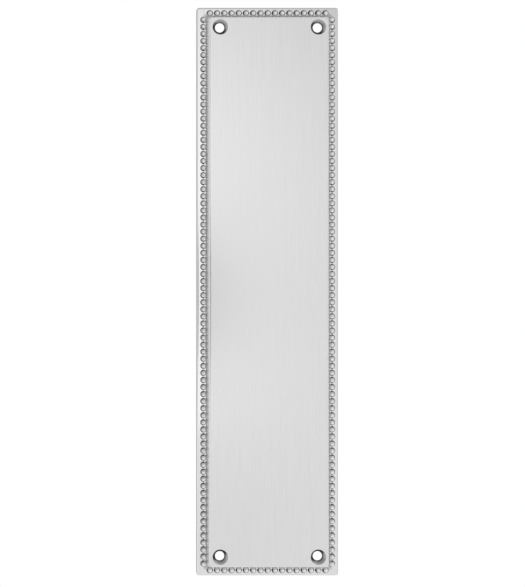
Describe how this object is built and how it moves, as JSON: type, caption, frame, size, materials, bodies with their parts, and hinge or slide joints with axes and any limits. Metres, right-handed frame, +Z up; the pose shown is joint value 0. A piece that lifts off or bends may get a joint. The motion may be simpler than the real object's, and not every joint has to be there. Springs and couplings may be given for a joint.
{
  "type": "door finger plate",
  "caption": "Tall rectangular finger plate with a raised panel, a beaded border and countersunk corner holes, screwed flat to a door to keep hands off its face.",
  "frame": {"origin": "middle of the plate's outline, on its flat back, where it meets the door", "axes": "+Z up the plate's length, -Y out of the door towards the user, +X to the right as seen from in front"},
  "size_m": [0.076, 0.005, 0.305],
  "materials": {
    "satin_plating": "satin"
  },
  "bodies": {
    "root": {"finger_plate": "satin_plating"}
  },
  "joints": []
}
